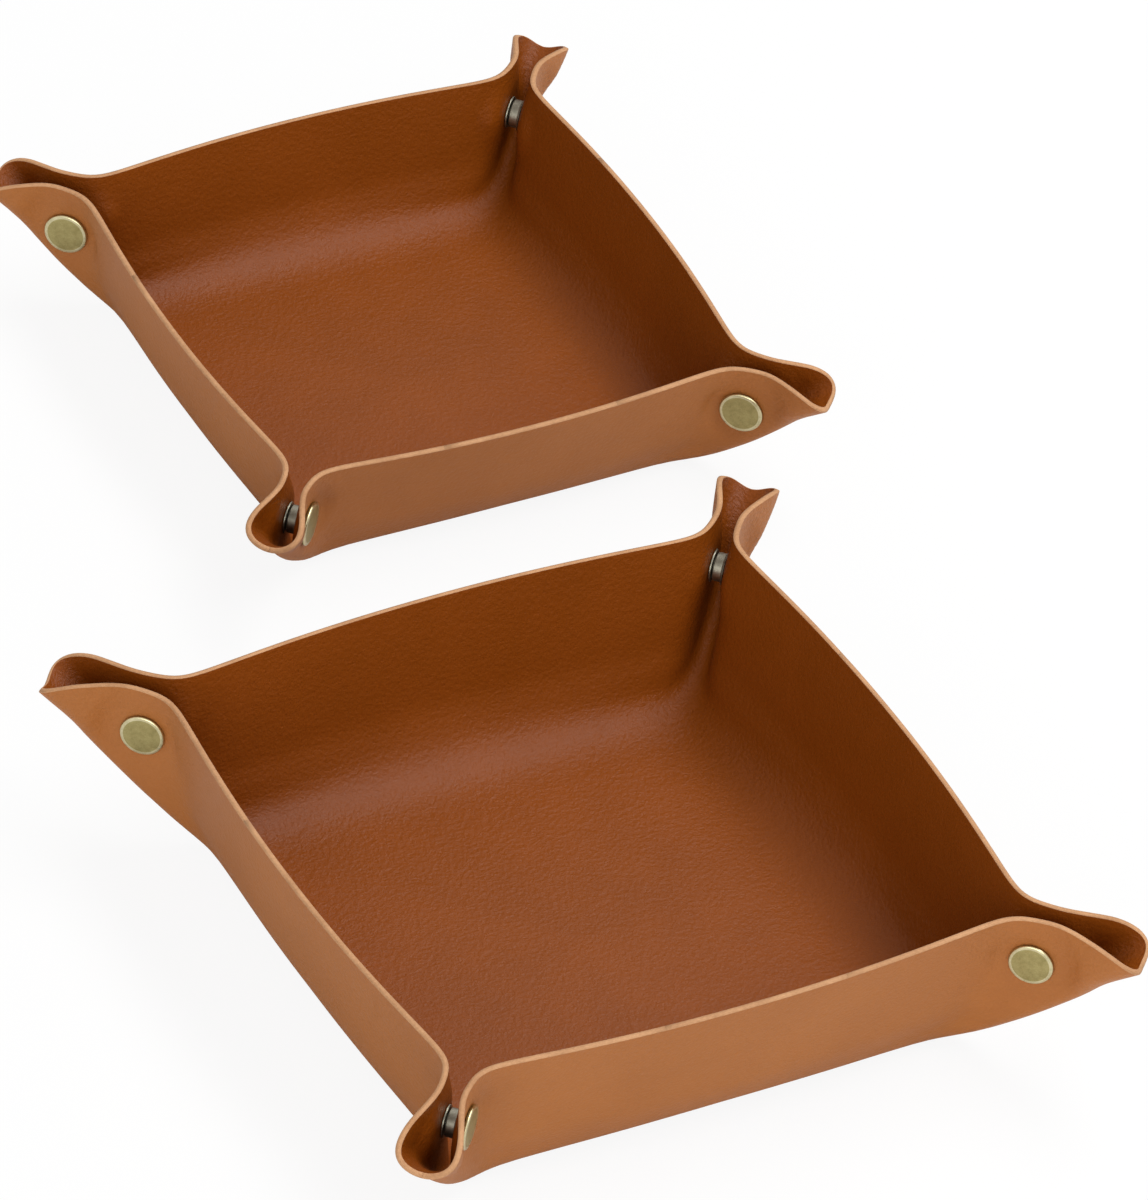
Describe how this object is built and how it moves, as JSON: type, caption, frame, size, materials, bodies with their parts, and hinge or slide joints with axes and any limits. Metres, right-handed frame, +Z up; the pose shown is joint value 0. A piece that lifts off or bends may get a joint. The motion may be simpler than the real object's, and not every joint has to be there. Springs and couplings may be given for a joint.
{
  "type": "snap-corner valet tray set",
  "caption": "Two catch-all trays, each a square sheet of saddle-tan leather folded up and pinched into ears at its corners by brass press studs.",
  "frame": {"origin": "centre of the large tray's flat underside, on the surface that it stands on", "axes": "+X and +Y along the large tray's sides, with the small tray behind it towards +Y, and +Z up"},
  "size_m": [0.2716, 0.4346, 0.0511],
  "materials": {
    "saddle_tan_leather": "smooth saddle-tan leather, satin, with a fine grain and pale cut edges",
    "antique_brass": "greenish antique brass with a flat satin face and a brighter turned rim",
    "dark_nickel": "dark grey plated steel"
  },
  "bodies": {
    "root": {"large_leather_sheet": "saddle_tan_leather", "small_leather_sheet": "saddle_tan_leather", "large_front_stud": "dark_nickel", "large_front_post": "antique_brass", "large_right_stud": "dark_nickel", "large_right_post": "antique_brass", "large_back_stud": "dark_nickel", "large_back_post": "antique_brass", "large_left_stud": "dark_nickel", "large_left_post": "antique_brass", "small_front_stud": "dark_nickel", "small_front_post": "antique_brass", "small_right_stud": "dark_nickel", "small_right_post": "antique_brass", "small_back_stud": "dark_nickel", "small_back_post": "antique_brass", "small_left_stud": "dark_nickel", "small_left_post": "antique_brass"},
    "large_front_flap": {"large_front_cap": "antique_brass", "large_front_socket": "dark_nickel", "large_front_spring": "dark_nickel"},
    "large_right_flap": {"large_right_cap": "antique_brass", "large_right_socket": "dark_nickel", "large_right_spring": "dark_nickel"},
    "large_back_flap": {"large_back_cap": "antique_brass", "large_back_socket": "dark_nickel", "large_back_spring": "dark_nickel"},
    "large_left_flap": {"large_left_cap": "antique_brass", "large_left_socket": "dark_nickel", "large_left_spring": "dark_nickel"},
    "small_front_flap": {"small_front_cap": "antique_brass", "small_front_socket": "dark_nickel", "small_front_spring": "dark_nickel"},
    "small_right_flap": {"small_right_cap": "antique_brass", "small_right_socket": "dark_nickel", "small_right_spring": "dark_nickel"},
    "small_back_flap": {"small_back_cap": "antique_brass", "small_back_socket": "dark_nickel", "small_back_spring": "dark_nickel"},
    "small_left_flap": {"small_left_cap": "antique_brass", "small_left_socket": "dark_nickel", "small_left_spring": "dark_nickel"}
  },
  "joints": [
    {"name": "large_front_unsnap", "type": "hinge", "parent": "root", "child": "large_front_flap", "pos_m": [-0.09464, -0.09464, 0.02501], "axis": [0.5337, 0.5337, -0.6561], "range_deg": [0, 30], "deforming": ["large_leather_sheet", "large_front_spring"]},
    {"name": "large_right_unsnap", "type": "hinge", "parent": "root", "child": "large_right_flap", "pos_m": [0.09464, -0.09464, 0.02501], "axis": [0.5337, -0.5337, 0.6561], "range_deg": [0, 30], "deforming": ["large_leather_sheet", "large_right_spring"]},
    {"name": "large_back_unsnap", "type": "hinge", "parent": "root", "child": "large_back_flap", "pos_m": [0.09464, 0.09464, 0.02501], "axis": [0.5337, 0.5337, 0.6561], "range_deg": [0, 30], "deforming": ["large_leather_sheet", "large_back_spring"]},
    {"name": "large_left_unsnap", "type": "hinge", "parent": "root", "child": "large_left_flap", "pos_m": [-0.09464, 0.09464, 0.02501], "axis": [0.5337, -0.5337, -0.6561], "range_deg": [0, 30], "deforming": ["large_leather_sheet", "large_left_spring"]},
    {"name": "small_front_unsnap", "type": "hinge", "parent": "root", "child": "small_front_flap", "pos_m": [-0.00833, 0.15727, 0.01773], "axis": [0.5429, 0.5243, -0.6561], "range_deg": [0, 30], "deforming": ["small_leather_sheet", "small_front_spring"]},
    {"name": "small_right_unsnap", "type": "hinge", "parent": "root", "child": "small_right_flap", "pos_m": [0.14073, 0.15467, 0.01773], "axis": [0.5243, -0.5429, 0.6561], "range_deg": [0, 30], "deforming": ["small_leather_sheet", "small_right_spring"]},
    {"name": "small_back_unsnap", "type": "hinge", "parent": "root", "child": "small_back_flap", "pos_m": [0.14333, 0.30373, 0.01773], "axis": [0.5429, 0.5243, 0.6561], "range_deg": [0, 30], "deforming": ["small_leather_sheet", "small_back_spring"]},
    {"name": "small_left_unsnap", "type": "hinge", "parent": "root", "child": "small_left_flap", "pos_m": [-0.00573, 0.30633, 0.01773], "axis": [0.5243, -0.5429, -0.6561], "range_deg": [0, 30], "deforming": ["small_leather_sheet", "small_left_spring"]}
  ]
}
